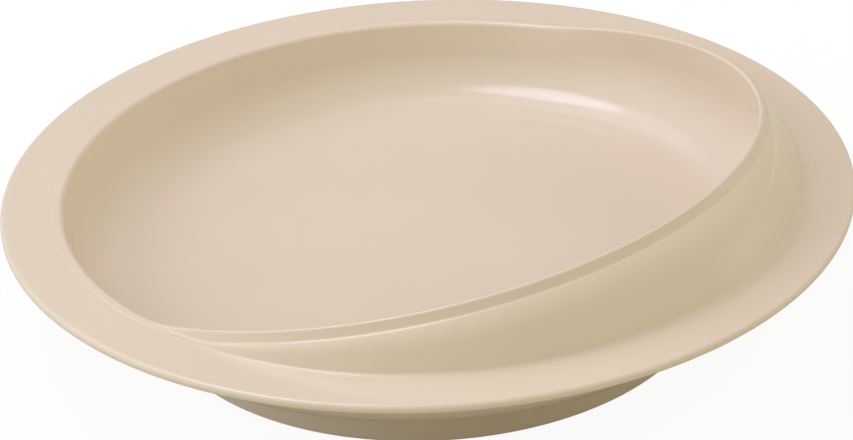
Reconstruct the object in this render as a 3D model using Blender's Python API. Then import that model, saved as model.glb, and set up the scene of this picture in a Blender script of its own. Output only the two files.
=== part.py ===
"""Scoop plate: a moulded plate whose inner wall rises on one side, on a foot ring with a soft tread.

The plate's axis is Z, the surface it stands on is z = 0, and the raised wall is highest along +X.
Outlines are lists of (radius, height) points, in metres.
"""
import math

import bmesh
import bpy

# Plate, seen from above
WELL_DIAMETER = 0.1729
FLANGE_WIDTH = 0.01505

# Heights, each measured from the level below it
FLOOR_HEIGHT = 0.0144
WELL_DEPTH = 0.0175
SCOOP_RISE = 0.0188

# Moulded wall, and the thinner flange with its rounded rim
WALL_THICKNESS = 0.0023
RIM_THICKNESS = 0.0019
RIM_TOP_ROUND = 0.0011
RIM_UNDER_ROUND = 0.0005
UNDERSIDE_FILLET = 0.0010

# Well: its side leaves the floor in a curve and stands steep under the flange
WELL_SLOPE = math.radians(75)
WELL_CURVE = 0.0140
WELL_EDGE_ROUND = 0.0013

# Raised wall: its top lies on a slanting plane that leaves the flange this far behind the axis
SCOOP_START_BEHIND_AXIS = 0.0166
SCOOP_LEAN_IN = 0.0083
SCOOP_RUN_OUT = 0.0012
SCOOP_FOOT_OFFSET = 0.0014
SCOOP_FOOT_OFFSET_AT_TOP = 0.0033
SCOOP_FOOT_FILLET = 0.0014

# Narrow lip on the raised wall, with a slanting face, at full size where the wall has risen far enough
LIP_THICKNESS = 0.0011
LIP_SLANT = math.radians(24)
LIP_HEIGHT = 0.0024
LIP_LEDGE = 0.0008
LIP_FULL_AT_RISE = 0.0022

# Limits and fullness of rounded forms, as shares of the space or the side they lie in
MOST_OF_ROOM = 0.97
LIP_MOST_OF_RISE = 0.80
SCOOP_FOOT_ROUND = 0.10
LIP_FACE = 0.70
SHOULDER_OUT = 0.36
SHOULDER_DOWN = 0.15
SHOULDER_ROUND = 0.36

# Foot ring, and the rib under the floor that centres it
FOOT_INSIDE_FLOOR = 0.0051
FOOT_TAPER = 0.0010
FOOT_WALL = 0.0030
FOOT_SEAT_WIDTH = 0.0100
FOOT_SEAT_THICKNESS = 0.0024
FOOT_EDGE_ROUND = 0.0006
RIB_WIDTH = 0.0022
RIB_HEIGHT = 0.0030

# Soft tread in a groove of the foot ring
TREAD_WIDTH = 0.0032
TREAD_THICKNESS = 0.0026
TREAD_PROUD = 0.0004
TREAD_EDGE_ROUND = 0.0004
GROOVE_WALL = 0.0015

FIT_GAP = 0.0003
SEGMENTS = 72
TOUCHING = 0.000001
SHARP_FROM = math.radians(40)

# Linear colours, and how dull each surface is
BEIGE = (0.73, 0.61, 0.50, 1.0)
TAUPE = (0.20, 0.165, 0.12, 1.0)
PLATE_ROUGHNESS = 0.30
FOOT_ROUGHNESS = 0.38
TREAD_ROUGHNESS = 0.75

DOWN = -math.pi / 2
UP = math.pi / 2

WELL_RADIUS = WELL_DIAMETER / 2
RIM_RADIUS = WELL_RADIUS + FLANGE_WIDTH
FLANGE_HEIGHT = FLOOR_HEIGHT + WELL_DEPTH
FLOOR_UNDERSIDE = FLOOR_HEIGHT - WALL_THICKNESS
FLANGE_UNDERSIDE = FLANGE_HEIGHT - RIM_THICKNESS
CREST_RADIUS = WELL_RADIUS - SCOOP_LEAN_IN
CREST_SLOPE = SCOOP_RISE / (CREST_RADIUS + SCOOP_START_BEHIND_AXIS)

# The widest curve whose straight side still fits the well's depth
ROOM_FOR_CURVE = WELL_DEPTH / (1 - math.cos(WELL_SLOPE)) - WELL_EDGE_ROUND
LOW_CURVE = min(WELL_CURVE, MOST_OF_ROOM * ROOM_FOR_CURVE)


def floor_radius():
    """Radius where the level floor ends, from the slope and curve of the well's low side."""
    between = LOW_CURVE + WELL_EDGE_ROUND
    rise = WELL_DEPTH - between
    return WELL_RADIUS + WELL_EDGE_ROUND - (between + rise * math.cos(WELL_SLOPE)) / math.sin(WELL_SLOPE)


FLOOR_RADIUS = floor_radius()
FOOT_RADIUS = FLOOR_RADIUS - FOOT_INSIDE_FLOOR
FOOT_TOP_RADIUS = FOOT_RADIUS + FOOT_TAPER
SEAT_INNER_RADIUS = FOOT_TOP_RADIUS - FOOT_SEAT_WIDTH
GROOVE_OUTER_RADIUS = FOOT_RADIUS - GROOVE_WALL
GROOVE_INNER_RADIUS = GROOVE_OUTER_RADIUS - TREAD_WIDTH - 2 * FIT_GAP


def mix(start, end, share):
    return start + (end - start) * share


def arc(centre, radius, start, end, steps):
    """Points of an arc from one angle to another, with both ends."""
    points = []
    for step in range(steps + 1):
        angle = mix(start, end, step / steps)
        points.append((centre[0] + radius * math.cos(angle), centre[1] + radius * math.sin(angle)))
    return points


def bezier(controls, steps):
    """Points of a smooth curve drawn by three or four controls, with both ends."""
    points = []
    for step in range(steps + 1):
        level = controls
        while len(level) > 1:
            level = [[mix(*pair, step / steps) for pair in zip(*ends)] for ends in zip(level, level[1:])]
        points.append(tuple(level[0]))
    return points


def crest(azimuth):
    """Rise of the raised wall above the flange, and its radius, where the slanting plane cuts it."""
    toward = math.cos(azimuth)
    lean = SCOOP_LEAN_IN / SCOOP_RISE
    rise = CREST_SLOPE * (SCOOP_START_BEHIND_AXIS + WELL_RADIUS * toward)
    rise /= 1 + CREST_SLOPE * lean * toward
    rise = (rise + math.hypot(rise, SCOOP_RUN_OUT)) / 2
    return rise, WELL_RADIUS - lean * rise


def well_side(edge_centre, edge_round):
    """Curve round the floor, and the slope of the straight side that touches it and the edge."""
    run = edge_centre[0] - FLOOR_RADIUS
    depth = edge_centre[1] - FLOOR_HEIGHT
    widest = (run * run + depth * depth - edge_round * edge_round) / (2 * (depth + edge_round))
    curve = min(LOW_CURVE, MOST_OF_ROOM * widest)
    distance = math.hypot(run, depth - curve)
    return curve, math.atan2(depth - curve, run) + math.asin((curve + edge_round) / distance)


def scoop_outside(edge_end, rise, lip):
    """Lip, ledge and outer side of the raised wall, down to its fillet on the flange."""
    crest_height = FLANGE_HEIGHT + rise
    ledge_height = crest_height - lip * min(LIP_HEIGHT, LIP_MOST_OF_RISE * rise)
    face_foot = min(mix(crest_height, ledge_height, LIP_FACE), edge_end[1])
    face_run = (edge_end[1] - face_foot) * math.tan(LIP_SLANT)
    lip_foot = (edge_end[0] + face_run + (1 - lip) * LIP_LEDGE / 2, face_foot)
    ledge = (lip_foot[0] + LIP_LEDGE, ledge_height)
    offset = mix(SCOOP_FOOT_OFFSET, SCOOP_FOOT_OFFSET_AT_TOP, rise / SCOOP_RISE)
    corner = (max(WELL_RADIUS + offset, ledge[0] + LIP_LEDGE / 2), FLANGE_HEIGHT)
    shoulder = (mix(ledge[0], corner[0], SHOULDER_OUT), mix(ledge[1], corner[1], SHOULDER_DOWN))
    wall_top = (mix(shoulder[0], corner[0], SHOULDER_ROUND), mix(shoulder[1], corner[1], SHOULDER_ROUND))
    foot = (mix(corner[0], shoulder[0], SCOOP_FOOT_ROUND), mix(corner[1], shoulder[1], SCOOP_FOOT_ROUND))
    flange_end = (corner[0] + SCOOP_FOOT_FILLET, FLANGE_HEIGHT)
    points = [lip_foot]
    points += bezier((ledge, shoulder, wall_top), 5)
    points += bezier((foot, corner, flange_end), 3)
    return points


def rim_edge():
    """Rim of the flange, rounder above than below."""
    top = (RIM_RADIUS - RIM_TOP_ROUND, FLANGE_HEIGHT - RIM_TOP_ROUND)
    under = (RIM_RADIUS - RIM_UNDER_ROUND, FLANGE_UNDERSIDE + RIM_UNDER_ROUND)
    return arc(top, RIM_TOP_ROUND, UP, 0.0, 5) + arc(under, RIM_UNDER_ROUND, 0.0, DOWN, 3)


def bowl_outside():
    """Outside of the bowl, the same all round: a fillet, a steep side and the curve to the floor."""
    reach = LOW_CURVE + WALL_THICKNESS
    curve_centre = (FLOOR_RADIUS, FLOOR_HEIGHT + LOW_CURVE)
    curve_end = curve_centre[1] - reach * math.cos(WELL_SLOPE)
    run_per_rise = 1 / math.tan(WELL_SLOPE)
    top = FLOOR_RADIUS + reach * math.sin(WELL_SLOPE) + (FLANGE_UNDERSIDE - curve_end) * run_per_rise
    points = [(top + UNDERSIDE_FILLET, FLANGE_UNDERSIDE)]
    points.append((top - UNDERSIDE_FILLET * run_per_rise, FLANGE_UNDERSIDE - UNDERSIDE_FILLET))
    points += arc(curve_centre, reach, DOWN + WELL_SLOPE, DOWN, 7)
    return points


def centring_rib():
    outer = SEAT_INNER_RADIUS - FIT_GAP
    inner = outer - RIB_WIDTH
    tip = FLOOR_UNDERSIDE - RIB_HEIGHT
    return [(outer, FLOOR_UNDERSIDE), (outer, tip), (inner, tip), (inner, FLOOR_UNDERSIDE)]


def plate_section(azimuth):
    """The plate's outline from the middle of its floor, over the rim, to the middle of its underside."""
    rise, crest_radius = crest(azimuth)
    lip = min(rise / LIP_FULL_AT_RISE, 1.0)
    edge_round = mix(WELL_EDGE_ROUND, LIP_THICKNESS / 2, lip)
    edge_centre = (crest_radius + edge_round, FLANGE_HEIGHT + rise - edge_round)
    curve, slope = well_side(edge_centre, edge_round)

    points = [(0.0, FLOOR_HEIGHT)]
    points += arc((FLOOR_RADIUS, FLOOR_HEIGHT + curve), curve, DOWN, DOWN + slope, 8)
    points += arc(edge_centre, edge_round, UP + slope, mix(UP, LIP_SLANT, lip), 5)
    points += scoop_outside(points[-1], rise, lip)
    points += rim_edge()
    points += bowl_outside()
    points += centring_rib()
    points.append((0.0, FLOOR_UNDERSIDE))
    return points


def foot_section():
    """Foot ring: a seat under the floor, a tapered wall and a broad tread with a groove."""
    seat = FLOOR_UNDERSIDE - FIT_GAP
    under_seat = seat - FOOT_SEAT_THICKNESS
    groove_top = TREAD_THICKNESS + FIT_GAP
    tread_top = groove_top + GROOVE_WALL
    tread_inner = GROOVE_INNER_RADIUS - GROOVE_WALL

    points = [(FOOT_RADIUS - FOOT_EDGE_ROUND, TREAD_PROUD), (FOOT_RADIUS, TREAD_PROUD + FOOT_EDGE_ROUND)]
    points += [(FOOT_TOP_RADIUS, seat), (SEAT_INNER_RADIUS, seat), (SEAT_INNER_RADIUS, under_seat)]
    points += [(FOOT_TOP_RADIUS - FOOT_WALL, under_seat), (FOOT_RADIUS - FOOT_WALL, tread_top)]
    points += [(tread_inner, tread_top), (tread_inner, TREAD_PROUD)]
    points += [(GROOVE_INNER_RADIUS, TREAD_PROUD), (GROOVE_INNER_RADIUS, groove_top)]
    points += [(GROOVE_OUTER_RADIUS, groove_top), (GROOVE_OUTER_RADIUS, TREAD_PROUD)]
    return points


def tread_section():
    """Soft tread: a flat strip with its lower edges eased."""
    inner = GROOVE_INNER_RADIUS + FIT_GAP
    outer = GROOVE_OUTER_RADIUS - FIT_GAP
    points = [(inner, TREAD_THICKNESS), (inner, TREAD_EDGE_ROUND), (inner + TREAD_EDGE_ROUND, 0.0)]
    points += [(outer - TREAD_EDGE_ROUND, 0.0), (outer, TREAD_EDGE_ROUND), (outer, TREAD_THICKNESS)]
    return points


def turned(outline, closed):
    """A bmesh turned from an outline about the axis, with each vertex's outline place in a layer."""
    bm = bmesh.new()
    station = bm.verts.layers.int.new("station")
    verts = [bm.verts.new((radius, 0.0, height)) for radius, height in outline]
    for number, vert in enumerate(verts):
        vert[station] = number
    pairs = list(zip(verts, verts[1:]))
    if closed:
        pairs.append((verts[-1], verts[0]))
    edges = [bm.edges.new(pair) for pair in pairs]
    bmesh.ops.spin(bm, geom=verts + edges, cent=(0, 0, 0), axis=(0, 0, 1), angle=2 * math.pi,
                   steps=SEGMENTS, use_merge=True)
    bmesh.ops.remove_doubles(bm, verts=bm.verts, dist=TOUCHING)
    return bm, station


def draw_up_scoop(bm, station):
    """Moves every vertex of the turned plate to its place in the section at its own azimuth."""
    step = 2 * math.pi / SEGMENTS
    sections = [plate_section(number * step) for number in range(SEGMENTS)]
    for vert in bm.verts:
        if math.hypot(vert.co.x, vert.co.y) < TOUCHING:
            continue
        number = round(math.atan2(vert.co.y, vert.co.x) / step) % SEGMENTS
        radius, height = sections[number][vert[station]]
        vert.co = (radius * math.cos(number * step), radius * math.sin(number * step), height)


def material(name, colour, roughness):
    made = bpy.data.materials.new(name)
    made.use_nodes = True
    shader = made.node_tree.nodes["Principled BSDF"]
    shader.inputs["Base Color"].default_value = colour
    shader.inputs["Roughness"].default_value = roughness
    shader.inputs["Metallic"].default_value = 0.0
    return made


def finish(name, bm, surface, parent):
    """Closes a bmesh into a named, smooth-shaded object under the plate's empty."""
    bmesh.ops.recalc_face_normals(bm, faces=bm.faces)
    mesh = bpy.data.meshes.new(name)
    bm.to_mesh(mesh)
    bm.free()
    mesh.shade_smooth()
    mesh.set_sharp_from_angle(angle=SHARP_FROM)
    mesh.materials.append(surface)
    made = bpy.data.objects.new(name, mesh)
    bpy.context.scene.collection.objects.link(made)
    made.parent = parent


for old in list(bpy.data.objects):
    bpy.data.objects.remove(old)

root = bpy.data.objects.new("scoop_plate", None)
bpy.context.scene.collection.objects.link(root)

plate, plate_station = turned(plate_section(0.0), closed=False)
draw_up_scoop(plate, plate_station)
finish("plate_shell", plate, material("plate_beige", BEIGE, PLATE_ROUGHNESS), root)

foot, _ = turned(foot_section(), closed=True)
finish("foot_ring", foot, material("foot_beige", BEIGE, FOOT_ROUGHNESS), root)

tread, _ = turned(tread_section(), closed=True)
finish("nonslip_tread", tread, material("tread_rubber", TAUPE, TREAD_ROUGHNESS), root)
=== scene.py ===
# %% [markdown]
# # A scoop plate
# This lesson dresses a plate whose inner wall rises on one side, so that food can be scooped
# against it. The plate's solids come from a packed frame: they say where everything is. Finer
# meshes are turned around the same axis here, and take the place of those solids. The steps are
# the frame, the plate, its foot ring, its soft tread, the finishes, the studio and the camera.

# %% Frame
import math

import bmesh
import bpy
from mathutils import Matrix, Vector


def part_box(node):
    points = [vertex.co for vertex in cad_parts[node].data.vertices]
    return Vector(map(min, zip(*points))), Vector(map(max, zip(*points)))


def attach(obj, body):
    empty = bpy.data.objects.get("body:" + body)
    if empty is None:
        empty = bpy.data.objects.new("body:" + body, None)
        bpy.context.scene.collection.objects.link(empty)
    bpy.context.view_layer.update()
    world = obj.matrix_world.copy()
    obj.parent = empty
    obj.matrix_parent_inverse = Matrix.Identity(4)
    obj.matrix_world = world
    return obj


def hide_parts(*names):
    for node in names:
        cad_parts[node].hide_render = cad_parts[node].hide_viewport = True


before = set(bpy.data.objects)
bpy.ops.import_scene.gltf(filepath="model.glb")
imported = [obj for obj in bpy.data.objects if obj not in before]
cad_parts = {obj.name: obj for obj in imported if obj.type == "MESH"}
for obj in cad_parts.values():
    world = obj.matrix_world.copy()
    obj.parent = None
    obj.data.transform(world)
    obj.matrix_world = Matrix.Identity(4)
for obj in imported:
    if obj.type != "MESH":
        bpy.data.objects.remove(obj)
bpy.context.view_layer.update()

print("frame nodes:", sorted(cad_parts))

# %% [markdown]
# ## Sizes
# Everything is turned about one upright axis, so a radius and a height place every point. The
# outermost radius and the highest point are read from the frame, so that the dressed plate ends
# where its solids end. The sizes between them are written here once, in metres.

# %% Sizes
RIM_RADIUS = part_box("plate_shell")[1].x
CREST_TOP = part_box("plate_shell")[1].z

FLANGE_WIDTH = 0.01505
FLANGE_HEIGHT = 0.0319
RIM_THICKNESS = 0.0019
FLOOR_HEIGHT = 0.0144
WALL = 0.0023

WELL_RADIUS = RIM_RADIUS - FLANGE_WIDTH
FLOOR_UNDERSIDE = FLOOR_HEIGHT - WALL
FLANGE_UNDERSIDE = FLANGE_HEIGHT - RIM_THICKNESS
print(f"rim radius {RIM_RADIUS:.4f}, well radius {WELL_RADIUS:.4f}, crest at {CREST_TOP:.4f}")

# %% [markdown]
# ## Outlines
# An outline is a list of (radius, height) points. Round stretches are arcs and smooth curves, so
# that the number of points on them is a free choice. More points make smoother highlights, and
# highlights are what give a moulded surface away. A curve is found by mixing its controls two by
# two until a single point is left.

# %% Outline helpers
DOWN = -math.pi / 2
UP = math.pi / 2


def mix(start, end, share):
    return start + (end - start) * share


def along(start, end, share):
    """The point at a share of the way from one point to another."""
    return mix(start[0], end[0], share), mix(start[1], end[1], share)


def line(start, end, steps):
    """Points between two ends, without the ends themselves."""
    return [along(start, end, step / steps) for step in range(1, steps)]


def arc(centre, radius, start, end, steps):
    """Points of an arc from one angle to another, with both ends."""
    points = []
    for step in range(steps + 1):
        angle = mix(start, end, step / steps)
        points.append((centre[0] + radius * math.cos(angle), centre[1] + radius * math.sin(angle)))
    return points


def curve(controls, steps):
    """Points of a smooth curve drawn by three or four controls, with both ends."""
    points = []
    for step in range(steps + 1):
        level = controls
        while len(level) > 1:
            level = [along(start, end, step / steps) for start, end in zip(level, level[1:])]
        points.append(level[0])
    return points


print("points on a quarter turn in six steps:", len(arc((0.0, 0.0), 1.0, DOWN, 0.0, steps=6)))

# %% [markdown]
# ## The well
# The food lies on a level floor with a wide curve round it, and above that curve the side is
# straight and steep. A bevelled cylinder would have such a curve too, but here the side leans
# differently at every azimuth. So the side is worked out as the line that touches two circles,
# the curve round the floor and the rounded edge on top.

# %% Well
WELL_SLOPE = math.radians(75)
WELL_CURVE = 0.0140
WELL_EDGE_ROUND = 0.0013


def floor_radius():
    """Radius where the level floor ends and the curve of the well's side begins."""
    between = WELL_CURVE + WELL_EDGE_ROUND
    rise = FLANGE_HEIGHT - FLOOR_HEIGHT - between
    run = (between + rise * math.cos(WELL_SLOPE)) / math.sin(WELL_SLOPE)
    return WELL_RADIUS + WELL_EDGE_ROUND - run


FLOOR_RADIUS = floor_radius()
WELL_CENTRE = (FLOOR_RADIUS, FLOOR_HEIGHT + WELL_CURVE)


def well_side(edge_centre, edge_round):
    """Slope of the straight side that touches the curve round the floor and the edge."""
    run = edge_centre[0] - FLOOR_RADIUS
    depth = edge_centre[1] - FLOOR_HEIGHT - WELL_CURVE
    distance = math.hypot(run, depth)
    return math.atan2(depth, run) + math.asin((WELL_CURVE + edge_round) / distance)


print(f"the floor is level up to a radius of {FLOOR_RADIUS:.4f}")

# %% [markdown]
# ## The raised wall
# The wall leans inwards as it rises, and its top edge lies on a slanting plane. Where that plane
# meets the leaning wall gives the rise at each azimuth in one formula. On the far side the plane
# would dive below the flange, so the rise runs out softly to nothing there. That softness lifts
# the top by a hair too, which is taken off the rise beforehand.

# %% Crest of the raised wall
SCOOP_START_BEHIND_AXIS = 0.0166
SCOOP_LEAN_IN = 0.0083
SCOOP_RUN_OUT = 0.0012

TOP_RISE = CREST_TOP - FLANGE_HEIGHT
SCOOP_RISE = TOP_RISE - SCOOP_RUN_OUT ** 2 / (4 * TOP_RISE)
LEAN = SCOOP_LEAN_IN / SCOOP_RISE
CREST_SLOPE = SCOOP_RISE / (WELL_RADIUS - SCOOP_LEAN_IN + SCOOP_START_BEHIND_AXIS)


def crest(azimuth):
    """Rise of the wall above the flange, and the radius of its inner edge."""
    toward = math.cos(azimuth)
    rise = CREST_SLOPE * (SCOOP_START_BEHIND_AXIS + WELL_RADIUS * toward)
    rise /= 1 + CREST_SLOPE * LEAN * toward
    rise = (rise + math.hypot(rise, SCOOP_RUN_OUT)) / 2
    return rise, WELL_RADIUS - LEAN * rise


print("rise in mm, every 30 degrees:",
      [round(crest(math.radians(azimuth))[0] * 1000, 1) for azimuth in range(0, 181, 30)])

# %% [markdown]
# ## Lip and outer side
# A narrow lip runs along the raised wall, with a slanting face and a small ledge below it. Then
# come a rounded shoulder and a straight side that ends in a soft fillet on the flange. Bevels
# keep one width, but these forms have to shrink to nothing where the wall runs out. Points that
# lie at shares of the side do that by themselves.

# %% Lip and outer side
LIP_SLANT = math.radians(24)
LIP_HEIGHT = 0.0024
LIP_MOST_OF_RISE = 0.80
LIP_FACE = 0.70
LIP_LEDGE = 0.0008

SHOULDER_OUT = 0.36
SHOULDER_DOWN = 0.15
SHOULDER_ROUND = 0.36

SCOOP_FOOT_OFFSET = 0.0014
SCOOP_FOOT_OFFSET_AT_TOP = 0.0033
SCOOP_FOOT_FILLET = 0.0014
SCOOP_FOOT_ROUND = 0.10


def scoop_outside(edge_end, rise, lip):
    """Lip, ledge and outer side of the raised wall, down to its fillet on the flange."""
    crest_height = FLANGE_HEIGHT + rise
    ledge_height = crest_height - lip * min(LIP_HEIGHT, LIP_MOST_OF_RISE * rise)
    face_foot = min(mix(crest_height, ledge_height, LIP_FACE), edge_end[1])
    slant = math.tan(LIP_SLANT)
    lip_foot_radius = edge_end[0] + slant * (edge_end[1] - face_foot) + (1 - lip) * LIP_LEDGE / 2
    lip_foot = (lip_foot_radius, face_foot)
    lip_corner = (lip_foot[0] + slant * (face_foot - ledge_height), ledge_height)
    ledge = (lip_foot[0] + LIP_LEDGE, ledge_height)
    offset = mix(SCOOP_FOOT_OFFSET, SCOOP_FOOT_OFFSET_AT_TOP, rise / SCOOP_RISE)
    corner = (max(WELL_RADIUS + offset, ledge[0] + LIP_LEDGE / 2), FLANGE_HEIGHT)
    shoulder = (mix(ledge[0], corner[0], SHOULDER_OUT), mix(ledge[1], corner[1], SHOULDER_DOWN))
    wall_top = along(shoulder, corner, SHOULDER_ROUND)
    foot = along(corner, shoulder, SCOOP_FOOT_ROUND)
    flange_end = (corner[0] + SCOOP_FOOT_FILLET, FLANGE_HEIGHT)
    points = line(edge_end, lip_foot, steps=4)
    points += curve((lip_foot, lip_corner, lip_corner, ledge), steps=5)
    points += curve((ledge, shoulder, wall_top), steps=18)[1:]
    points += line(wall_top, foot, steps=6)
    points += curve((foot, corner, flange_end), steps=10)
    return points


print("points down the outer side:", len(scoop_outside((WELL_RADIUS, CREST_TOP), SCOOP_RISE, 1.0)))

# %% [markdown]
# ## Flange, rim and underside
# The flange is flat, and its rim is rounder above than below. Under it the outside of the bowl
# follows the well at the wall's thickness. None of this changes around the plate, so these two
# outlines need no azimuth, and turning alone would be enough for them.

# %% Flange, rim and underside
RIM_TOP_ROUND = 0.0011
RIM_UNDER_ROUND = 0.0005
UNDERSIDE_FILLET = 0.0010


def rim_edge(flange_start):
    """Flange, and its rim, rounder above than below."""
    top = (RIM_RADIUS - RIM_TOP_ROUND, FLANGE_HEIGHT - RIM_TOP_ROUND)
    under = (RIM_RADIUS - RIM_UNDER_ROUND, FLANGE_UNDERSIDE + RIM_UNDER_ROUND)
    points = line(flange_start, (top[0], FLANGE_HEIGHT), steps=6)
    points += arc(top, RIM_TOP_ROUND, UP, 0.0, steps=14)
    return points + arc(under, RIM_UNDER_ROUND, 0.0, DOWN, steps=8)


def bowl_outside():
    """Outside of the bowl, the same all round: a fillet, a steep side and a wide curve."""
    reach = WELL_CURVE + WALL
    curve_end = WELL_CENTRE[1] - reach * math.cos(WELL_SLOPE)
    run_per_rise = 1 / math.tan(WELL_SLOPE)
    side_run = (FLANGE_UNDERSIDE - curve_end) * run_per_rise
    top = FLOOR_RADIUS + reach * math.sin(WELL_SLOPE) + side_run
    corner = (top, FLANGE_UNDERSIDE)
    side_top = (top - UNDERSIDE_FILLET * run_per_rise, FLANGE_UNDERSIDE - UNDERSIDE_FILLET)
    points = curve(((top + UNDERSIDE_FILLET, FLANGE_UNDERSIDE), corner, corner, side_top), steps=6)
    bowl = arc(WELL_CENTRE, reach, DOWN + WELL_SLOPE, DOWN, steps=22)
    return points + line(side_top, bowl[0], steps=4) + bowl


print(f"the bowl's outside begins at a radius of {bowl_outside()[0][0]:.4f}")

# %% [markdown]
# ## The whole section
# The plate is one moulding, so one outline runs from the middle of the floor up the well's side,
# over the edge, down the outside of the raised wall, along the flange, round the rim and back
# along the underside, where a rib centres the foot ring. Each azimuth has its own version with
# the same number of points. That is what lets a plain turned shape be drawn up into a scoop.

# %% Plate section
LIP_THICKNESS = 0.0011
LIP_FULL_AT_RISE = 0.0022

FOOT_TOP_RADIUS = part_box("foot_ring")[1].x
FOOT_SEAT_WIDTH = 0.0100
FIT_GAP = 0.0003
RIB_WIDTH = 0.0022
RIB_OUTER = FOOT_TOP_RADIUS - FOOT_SEAT_WIDTH - FIT_GAP
RIB_INNER = RIB_OUTER - RIB_WIDTH
RIB_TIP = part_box("plate_shell")[0].z


def plate_section(azimuth):
    """The plate's outline from the middle of its floor, over the rim, to the middle below."""
    rise, crest_radius = crest(azimuth)
    lip = min(rise / LIP_FULL_AT_RISE, 1.0)
    edge_round = mix(WELL_EDGE_ROUND, LIP_THICKNESS / 2, lip)
    edge_centre = (crest_radius + edge_round, FLANGE_HEIGHT + rise - edge_round)
    slope = well_side(edge_centre, edge_round)

    points = [(0.0, FLOOR_HEIGHT)]
    points += line((0.0, FLOOR_HEIGHT), (FLOOR_RADIUS, FLOOR_HEIGHT), steps=8)
    points += arc(WELL_CENTRE, WELL_CURVE, DOWN, DOWN + slope, steps=28)
    edge = arc(edge_centre, edge_round, UP + slope, mix(UP, LIP_SLANT, lip), steps=12)
    points += line(points[-1], edge[0], steps=6)
    points += edge
    points += scoop_outside(edge[-1], rise, lip)
    points += rim_edge(points[-1])
    points += bowl_outside()
    points += [(RIB_OUTER, FLOOR_UNDERSIDE), (RIB_OUTER, RIB_TIP)]
    points += [(RIB_INNER, RIB_TIP), (RIB_INNER, FLOOR_UNDERSIDE), (0.0, FLOOR_UNDERSIDE)]
    return points


print("points in the plate's section:", len(plate_section(0.0)))

# %% [markdown]
# ## From outline to mesh
# A lathe shape is the natural start: the spin operator turns an outline about the axis and makes
# every face. Each vertex remembers its place in the outline in an integer layer. That layer is
# then used to move the vertex to the same place in the outline of its own azimuth, which pulls
# the scoop up out of the turned plate without working out a single face by hand.

# %% Turning
TURN_STEPS = 360
TURN_STEP = 2 * math.pi / TURN_STEPS
TOUCHING = 0.000001


def turned(outline, closed):
    """A bmesh turned from an outline, and the layer with each vertex's place in that outline."""
    bm = bmesh.new()
    place = bm.verts.layers.int.new("place")
    verts = [bm.verts.new((radius, 0.0, height)) for radius, height in outline]
    for number, vert in enumerate(verts):
        vert[place] = number
    pairs = list(zip(verts, verts[1:]))
    if closed:
        pairs.append((verts[-1], verts[0]))
    edges = [bm.edges.new(pair) for pair in pairs]
    bmesh.ops.spin(bm, geom=verts + edges, cent=(0, 0, 0), axis=(0, 0, 1), angle=2 * math.pi,
                   steps=TURN_STEPS, use_merge=True)
    bmesh.ops.remove_doubles(bm, verts=bm.verts, dist=TOUCHING)
    return bm, place


def draw_up(bm, place, section):
    """Moves every vertex to its place in the outline of its own azimuth."""
    outlines = [section(number * TURN_STEP) for number in range(TURN_STEPS)]
    for vert in bm.verts:
        if math.hypot(vert.co.x, vert.co.y) < TOUCHING:
            continue
        number = round(math.atan2(vert.co.y, vert.co.x) / TURN_STEP) % TURN_STEPS
        azimuth = number * TURN_STEP
        radius, height = outlines[number][vert[place]]
        vert.co = (radius * math.cos(azimuth), radius * math.sin(azimuth), height)


plate_mesh, plate_place = turned(plate_section(0.0), closed=False)
draw_up(plate_mesh, plate_place, plate_section)
print("vertices of the plate:", len(plate_mesh.verts))

# %% [markdown]
# ## Pieces in the frame
# A mesh becomes a piece of the object when it rides on the frame and replaces one of its solids.
# Shading it smooth shows round forms as round. Edges that bend by more than a set angle are marked
# sharp, so that real corners stay crisp. Unlike a bevel, that costs no faces.

# %% Plate
SHARP_FROM = math.radians(40)


def piece(name, bm, node):
    """Turns a bmesh into a smooth-shaded object that rides on the plate and stands for a solid."""
    bmesh.ops.recalc_face_normals(bm, faces=bm.faces)
    mesh = bpy.data.meshes.new(name)
    bm.to_mesh(mesh)
    bm.free()
    mesh.shade_smooth()
    mesh.set_sharp_from_angle(angle=SHARP_FROM)
    made = bpy.data.objects.new(name, mesh)
    bpy.context.scene.collection.objects.link(made)
    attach(made, "root")
    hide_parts(node)
    print(name, "faces:", len(mesh.polygons))
    return made


plate = piece("moulded_plate", plate_mesh, "plate_shell")

# %% [markdown]
# ## The foot ring
# Under the floor sits a tapered ring. Its flat seat lies a small gap below the floor, around the
# rib that centres it, its wall narrows downwards, and its broad bottom holds a groove for the soft
# tread. It is plainly round, so the turned outline is the finished shape. Small arcs ease the
# edges that catch light.

# %% Foot ring
FOOT_TAPER = 0.0010
FOOT_WALL = 0.0030
FOOT_SEAT_THICKNESS = 0.0024
FOOT_EDGE_ROUND = 0.0006
FOOT_RADIUS = FOOT_TOP_RADIUS - FOOT_TAPER
FOOT_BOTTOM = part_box("foot_ring")[0].z

TREAD_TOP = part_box("nonslip_tread")[1].z
TREAD_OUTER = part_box("nonslip_tread")[1].x
TREAD_WIDTH = 0.0032
GROOVE_WALL = 0.0015
GROOVE_OUTER = TREAD_OUTER + FIT_GAP
GROOVE_INNER = GROOVE_OUTER - TREAD_WIDTH - 2 * FIT_GAP


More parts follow.
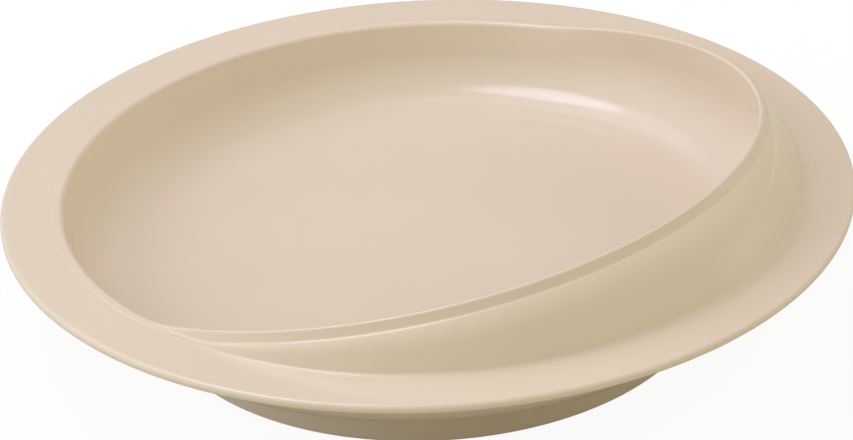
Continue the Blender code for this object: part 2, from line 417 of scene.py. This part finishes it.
def foot_section():
    """Foot ring: a seat under the floor, a tapered wall and a broad bottom with a groove."""
    seat = FLOOR_UNDERSIDE - FIT_GAP
    seat_inner = FOOT_TOP_RADIUS - FOOT_SEAT_WIDTH
    under_seat = seat - FOOT_SEAT_THICKNESS
    groove_top = TREAD_TOP + FIT_GAP
    bottom_top = groove_top + GROOVE_WALL
    bottom_inner = GROOVE_INNER - GROOVE_WALL
    ease = FOOT_EDGE_ROUND
    points = arc((FOOT_RADIUS - ease, FOOT_BOTTOM + ease), ease, DOWN, 0.0, steps=6)
    points += line(points[-1], (FOOT_TOP_RADIUS, seat), steps=6)
    points += [(FOOT_TOP_RADIUS, seat), (seat_inner, seat), (seat_inner, under_seat)]
    points += arc((FOOT_TOP_RADIUS - FOOT_WALL - ease, under_seat - ease), ease, UP, 0.0, steps=4)
    points += [(FOOT_RADIUS - FOOT_WALL, bottom_top)]
    points += arc((bottom_inner + ease, bottom_top - ease), ease, UP, 2 * UP, steps=4)
    points += arc((bottom_inner + ease, FOOT_BOTTOM + ease), ease, 2 * UP, 3 * UP, steps=4)
    points += [(GROOVE_INNER, FOOT_BOTTOM), (GROOVE_INNER, groove_top)]
    points += [(GROOVE_OUTER, groove_top), (GROOVE_OUTER, FOOT_BOTTOM)]
    return points


foot_mesh, _ = turned(foot_section(), closed=True)
foot = piece("base_ring", foot_mesh, "foot_ring")

# %% [markdown]
# ## The soft tread
# What grips the table is a strip of rubber in the groove, standing a little proud of the foot
# ring. It could be a bevelled ring, but the turning helper is at hand. Its lower edges are well
# rounded, as on a moulded gasket.

# %% Soft tread
TREAD_EDGE_ROUND = 0.0004


def tread_section():
    """Soft tread: a flat strip with rounded lower edges."""
    inner = TREAD_OUTER - TREAD_WIDTH
    ease = TREAD_EDGE_ROUND
    points = [(TREAD_OUTER, TREAD_TOP), (inner, TREAD_TOP)]
    points += arc((inner + ease, ease), ease, 2 * UP, 3 * UP, steps=5)
    points += arc((TREAD_OUTER - ease, ease), ease, DOWN, 0.0, steps=5)
    return points


tread_mesh, _ = turned(tread_section(), closed=True)
tread = piece("soft_tread", tread_mesh, "nonslip_tread")

# %% [markdown]
# ## Wires
# A finish is a tree of nodes, joined from socket to socket. Wired by hand it soon is a tangle, and
# in a script it soon is a long list of links. This class stands for one socket and lets Python's
# own operators add Math nodes, so that a finish reads as a sum.

# %% Wires


class Wire:
    """One socket of a finish, with arithmetic that adds Math nodes."""

    def __init__(self, owner, socket):
        self.owner = owner
        self.socket = socket

    def operate(self, operation, other):
        return self.owner.node("ShaderNodeMath", {"operation": operation}, {0: self, 1: other})

    def __add__(self, other):
        return self.operate("ADD", other)

    def __sub__(self, other):
        return self.operate("SUBTRACT", other)

    def __mul__(self, other):
        return self.operate("MULTIPLY", other)

    __radd__ = __add__
    __rmul__ = __mul__


print("wire:", Wire.__doc__)

# %% [markdown]
# ## Finishes
# This class holds a node tree and the one method that adds any other node: its type, its settings,
# and then the values or links of its sockets. Each node could be added in full where it is needed,
# but short methods for the shared ones let every finish below read as a recipe. The Mix node has
# sockets of the same name for numbers and colours, so those for colours are picked by number.

# %% Finishes
MIX_SHARE, MIX_FIRST, MIX_SECOND = 0, 6, 7
MIX_COLOUR = 2


class Finish:
    """A node tree, and the method that adds nodes to it."""

    def __init__(self, owner):
        owner.use_nodes = True
        self.tree = owner.node_tree

    def node(self, kind, settings, sockets, output=0):
        made = self.tree.nodes.new(kind)
        for name, value in settings.items():
            setattr(made, name, value)
        for name, value in sockets.items():
            self.plug(made.inputs[name], value)
        return Wire(self, made.outputs[output])

    def plug(self, socket, value):
        if isinstance(value, Wire):
            self.tree.links.new(value.socket, socket)
        else:
            socket.default_value = value

    def object_place(self):
        return self.node("ShaderNodeTexCoord", {}, {}, output="Object")

    def noise(self, place, per_metre, detail, roughness=0.5):
        sockets = {"Vector": place, "Scale": per_metre, "Detail": detail, "Roughness": roughness}
        return self.node("ShaderNodeTexNoise", {}, sockets)

    def between(self, value, low, high, start, end):
        """A value mapped from one range to another and held inside it."""
        sockets = {"Value": value, "From Min": low, "From Max": high,
                   "To Min": start, "To Max": end}
        return self.node("ShaderNodeMapRange", {}, sockets)

    def blend(self, share, first, second):
        """A colour between two others."""
        sockets = {MIX_SHARE: share, MIX_FIRST: first, MIX_SECOND: second}
        return self.node("ShaderNodeMix", {"data_type": "RGBA"}, sockets, output=MIX_COLOUR)

    def bump(self, height, distance):
        return self.node("ShaderNodeBump", {}, {"Height": height, "Distance": distance})


def surface(name, item):
    """A named material on a piece: its finish, and its main shader's sockets."""
    made = bpy.data.materials.new(name)
    item.data.materials.append(made)
    finish = Finish(made)
    return finish, finish.tree.nodes["Principled BSDF"].inputs


print("finish:", Finish.__doc__)

# %% [markdown]
# ## Moulded plastic
# The plate is pressed from one warm beige plastic with a satin gloss. Such a surface is never one
# flat colour: pigment drifts a little over a hand's width, there is a fine speckle, and the gloss
# changes where the mould was polished less. A very shallow swell in the bump keeps the highlights
# from looking ruled. Noise in object coordinates does all this without any picture.

# %% Moulded plastic
BEIGE_PALE = (0.745, 0.621, 0.529, 1.0)
BEIGE_DEEP = (0.727, 0.602, 0.509, 1.0)
NOISE_LOW, NOISE_MIDDLE, NOISE_HIGH = 0.3, 0.5, 0.7
DRIFT_PER_METRE = 26.0
DRIFT_SHARE = 0.85
SPECKLE_PER_METRE = 1500.0
SPECKLE_SHARE = 0.15
POLISH_PER_METRE = 70.0
POLISH_CHANGE = 0.05
SPECKLE_CHANGE = 0.02
SWELL_PER_METRE = 45.0
SWELL_HEIGHT = 0.00010
PLASTIC_IOR = 1.5
PLATE_ROUGHNESS = 0.17
FOOT_ROUGHNESS = 0.30


def moulded_plastic(name, item, dullness):
    finish, sockets = surface(name, item)
    place = finish.object_place()
    drift = finish.noise(place, DRIFT_PER_METRE, detail=3.0)
    drift = finish.between(drift, NOISE_LOW, NOISE_HIGH, 0.0, DRIFT_SHARE)
    speckle = finish.noise(place, SPECKLE_PER_METRE, detail=1.0)
    shade = finish.blend(drift + SPECKLE_SHARE * speckle, BEIGE_PALE, BEIGE_DEEP)
    polish = finish.noise(place, POLISH_PER_METRE, detail=4.0, roughness=0.6)
    unevenness = POLISH_CHANGE * (polish - NOISE_MIDDLE)
    unevenness += SPECKLE_CHANGE * (speckle - NOISE_MIDDLE)
    swell = finish.noise(place, SWELL_PER_METRE, detail=1.0)
    finish.plug(sockets["Base Color"], shade)
    finish.plug(sockets["Roughness"], dullness + unevenness)
    finish.plug(sockets["Normal"], finish.bump(swell, SWELL_HEIGHT))
    sockets["IOR"].default_value = PLASTIC_IOR
    print(name, "nodes:", len(finish.tree.nodes))


moulded_plastic("plate_plastic", plate, PLATE_ROUGHNESS)
moulded_plastic("foot_plastic", foot, FOOT_ROUGHNESS)

# %% [markdown]
# ## Rubber
# The tread is a dull taupe rubber. A darker copy of the plastic would look too smooth for it. So a
# fine grain goes into its colour, its roughness and its height, and the roughness stays high.

# %% Rubber
TAUPE_PALE = (0.235, 0.195, 0.145, 1.0)
TAUPE_DEEP = (0.165, 0.135, 0.098, 1.0)
GRAIN_PER_METRE = 900.0
GRAIN_SHARE = 0.6
GRAIN_HEIGHT = 0.00008
CLOUD_PER_METRE = 60.0
CLOUD_SHARE = 0.4
RUBBER_ROUGHNESS = 0.70
RUBBER_ROUGHER = 0.16


def tread_rubber(item):
    finish, sockets = surface("tread_rubber", item)
    place = finish.object_place()
    grain = finish.noise(place, GRAIN_PER_METRE, detail=3.0, roughness=0.6)
    cloud = finish.noise(place, CLOUD_PER_METRE, detail=2.0)
    shade = finish.blend(GRAIN_SHARE * grain + CLOUD_SHARE * cloud, TAUPE_PALE, TAUPE_DEEP)
    finish.plug(sockets["Base Color"], shade)
    finish.plug(sockets["Roughness"], RUBBER_ROUGHNESS + RUBBER_ROUGHER * grain)
    finish.plug(sockets["Normal"], finish.bump(grain, GRAIN_HEIGHT))
    print("tread_rubber nodes:", len(finish.tree.nodes))


tread_rubber(tread)

# %% [markdown]
# ## Studio floor
# The photograph shows the plate on plain white. More light would wash out the plate, so the floor
# glows instead, but only for rays from the camera and for mirror-like rays that come from far
# off. The small share left to the matt floor keeps the plate's soft shadow. All other rays meet a
# matt floor, so the glow throws no light on the plate. Seen from below, the floor is clear, so
# that the underside can be looked at.

# %% Floor
FLOOR_SIZE = 40.0
FLOOR_GLOW = 0.93
FAR_RAY = 1.0
FLOOR_WHITE = (0.92, 0.92, 0.92, 1.0)
FLOOR_BOUNCE = (0.57, 0.56, 0.46, 1.0)


def studio_floor():
    bm = bmesh.new()
    bmesh.ops.create_grid(bm, x_segments=1, y_segments=1, size=FLOOR_SIZE / 2)
    mesh = bpy.data.meshes.new("studio_floor")
    bm.to_mesh(mesh)
    bm.free()
    made = bpy.data.objects.new("studio_floor", mesh)
    bpy.context.scene.collection.objects.link(made)
    return made


def seen_directly(finish):
    """One for camera rays and for mirror-like rays from far off, and nought for all others."""
    def ray(name):
        return finish.node("ShaderNodeLightPath", {}, {}, output=name)

    far = ray("Ray Length").operate("GREATER_THAN", FAR_RAY)
    seen = ray("Is Camera Ray") + far * (ray("Is Glossy Ray") + ray("Is Transmission Ray"))
    return seen.operate("MINIMUM", 1.0)


def floor_paint(item):
    finish, sockets = surface("floor_paint", item)
    seen = seen_directly(finish)
    finish.plug(sockets["Base Color"], finish.blend(seen, FLOOR_BOUNCE, FLOOR_WHITE))
    sockets["Roughness"].default_value = 1.0
    sockets["Specular IOR Level"].default_value = 0.0
    matt = Wire(finish, finish.tree.nodes["Principled BSDF"].outputs[0])
    glow = finish.node("ShaderNodeEmission", {}, {"Strength": 1.0})
    lit = finish.node("ShaderNodeMixShader", {}, {0: FLOOR_GLOW * seen, 1: matt, 2: glow})
    clear = finish.node("ShaderNodeBsdfTransparent", {}, {})
    behind = finish.node("ShaderNodeNewGeometry", {}, {}, output="Backfacing")
    shown = finish.node("ShaderNodeMixShader", {}, {0: behind, 1: lit, 2: clear})
    finish.plug(finish.tree.nodes["Material Output"].inputs["Surface"], shown)


floor_paint(studio_floor())
print(f"floor {FLOOR_SIZE:.0f} m wide, {FLOOR_GLOW:.0%} of it glow where the camera sees it")

# %% [markdown]
# ## Surround
# In a studio, light comes back from walls and ceiling and fills every shadow. Many small lamps
# could do that, but the world's background does it with one colour and one strength. It is warm
# and dim here, like the shaded sides of the photographed plate.

# %% Surround
SURROUND = 0.375
SURROUND_TINT = (1.0, 0.83, 0.66, 1.0)


def surround():
    world = bpy.data.worlds.new("surround")
    bpy.context.scene.world = world
    sockets = Finish(world).tree.nodes["Background"].inputs
    sockets["Color"].default_value = SURROUND_TINT
    sockets["Strength"].default_value = SURROUND


surround()
print("surround:", SURROUND)

# %% [markdown]
# ## Lamps
# The key lamp stands high on the left, and a broader and weaker lamp beside it, further back,
# stands for its glow on a wall. Their reflections are the pale streak on the far curve and its
# soft lower edge. Three wide lamps, from the left, the front and the right, set how bright each
# side of the plate is. They are kept out of reflections, so that no other streak appears. A
# strength of 1 lights a surface that faces the lamp as much as a white surround does, so the
# strengths can be weighed against each other.

# %% Lamps
VIEW_AZIMUTH = math.radians(33.6)
LAMP_DISTANCE = 16 * RIM_RADIUS


def lamp_width(degrees):
    """Width of a lamp that spans an angle, as seen from the plate."""
    return 2 * LAMP_DISTANCE * math.tan(math.radians(degrees) / 2)


def lamp(name, azimuth, elevation, width, height, strength, tint, mirrored=False):
    """A soft oval lamp. Azimuth is counted from the right of the picture, against the clock."""
    data = bpy.data.lights.new(name, "AREA")
    data.shape = "ELLIPSE"
    data.size = lamp_width(width)
    data.size_y = lamp_width(height)
    data.color = tint
    data.energy = strength * 4 * math.pi * LAMP_DISTANCE ** 2
    turn = math.radians(azimuth) + VIEW_AZIMUTH
    tilt = math.radians(elevation)
    way = Vector((math.cos(turn) * math.cos(tilt),
                  math.sin(turn) * math.cos(tilt),
                  math.sin(tilt)))
    made = bpy.data.objects.new(name, data)
    made.location = way * LAMP_DISTANCE
    made.rotation_mode = "QUATERNION"
    made.rotation_quaternion = way.to_track_quat("Z", "Y")
    made.visible_glossy = mirrored
    bpy.context.scene.collection.objects.link(made)
    print(f"{name}: {data.energy:.1f} W")


lamp("key_lamp", azimuth=161, elevation=70, width=25, height=25, strength=0.165,
     tint=(0.97, 1.02, 1.26), mirrored=True)
lamp("glow_lamp", azimuth=128, elevation=58, width=46, height=33, strength=0.10,
     tint=(0.97, 1.02, 1.26), mirrored=True)
lamp("side_lamp", azimuth=184, elevation=26, width=60, height=50, strength=0.52,
     tint=(0.88, 1.00, 1.00))
lamp("front_lamp", azimuth=312, elevation=40, width=70, height=70, strength=0.33,
     tint=(0.86, 0.99, 0.70))
lamp("right_lamp", azimuth=20, elevation=24, width=44, height=44, strength=0.14,
     tint=(1.00, 1.00, 0.95))

# %% [markdown]
# ## Camera
# The picture is a long-lens view from a little under thirty degrees above the table. The rim's
# outline gives the elevation, the slight roll and the scale, all in units of the rim's radius,
# and the lens follows from the distance.

# %% Camera
PICTURE_WIDTH = 853
ELEVATION = math.radians(28.28)
ROLL = math.radians(-2.785)
DISTANCE_IN_RADII = 8.0
PIXELS_PER_RADIUS = 425.4
SHIFT_RIGHT = 1.86
SHIFT_UP = -36.03
SENSOR = 36.0
NEAREST = 0.01


def camera_pose(pixels):
    """Where the camera stands and how it is turned, around the middle of the rim."""
    back = Vector((0.0, -math.cos(ELEVATION), math.sin(ELEVATION)))
    right = Vector((1.0, 0.0, 0.0))
    up = back.cross(right)
    aim = (-back - right * (SHIFT_RIGHT / pixels) + up * (SHIFT_UP / pixels)).normalized()
    level = aim.cross(up).normalized()
    upright = level.cross(aim)
    rolled_right = level * math.cos(ROLL) + upright * math.sin(ROLL)
    rolled_up = upright * math.cos(ROLL) - level * math.sin(ROLL)
    pose = Matrix((rolled_right, rolled_up, -aim)).transposed().to_4x4()
    pose.translation = back * DISTANCE_IN_RADII * RIM_RADIUS
    return pose


def photograph_camera():
    pixels = PIXELS_PER_RADIUS * DISTANCE_IN_RADII
    data = bpy.data.cameras.new("photograph")
    data.sensor_fit = "HORIZONTAL"
    data.sensor_width = SENSOR
    data.lens = pixels * SENSOR / PICTURE_WIDTH
    data.clip_start = NEAREST
    made = bpy.data.objects.new("photograph", data)
    middle_of_rim = Matrix.Translation((0.0, 0.0, FLANGE_HEIGHT - RIM_THICKNESS / 2))
    made.matrix_world = middle_of_rim @ Matrix.Rotation(VIEW_AZIMUTH, 4, "Z") @ camera_pose(pixels)
    bpy.context.scene.collection.objects.link(made)
    bpy.context.scene.camera = made
    print(f"lens {data.lens:.1f} mm")


photograph_camera()
bpy.context.scene.view_settings.view_transform = "Standard"

# %% [markdown]
# ## The size
# The dressed plate has to stay inside the box of its solids.
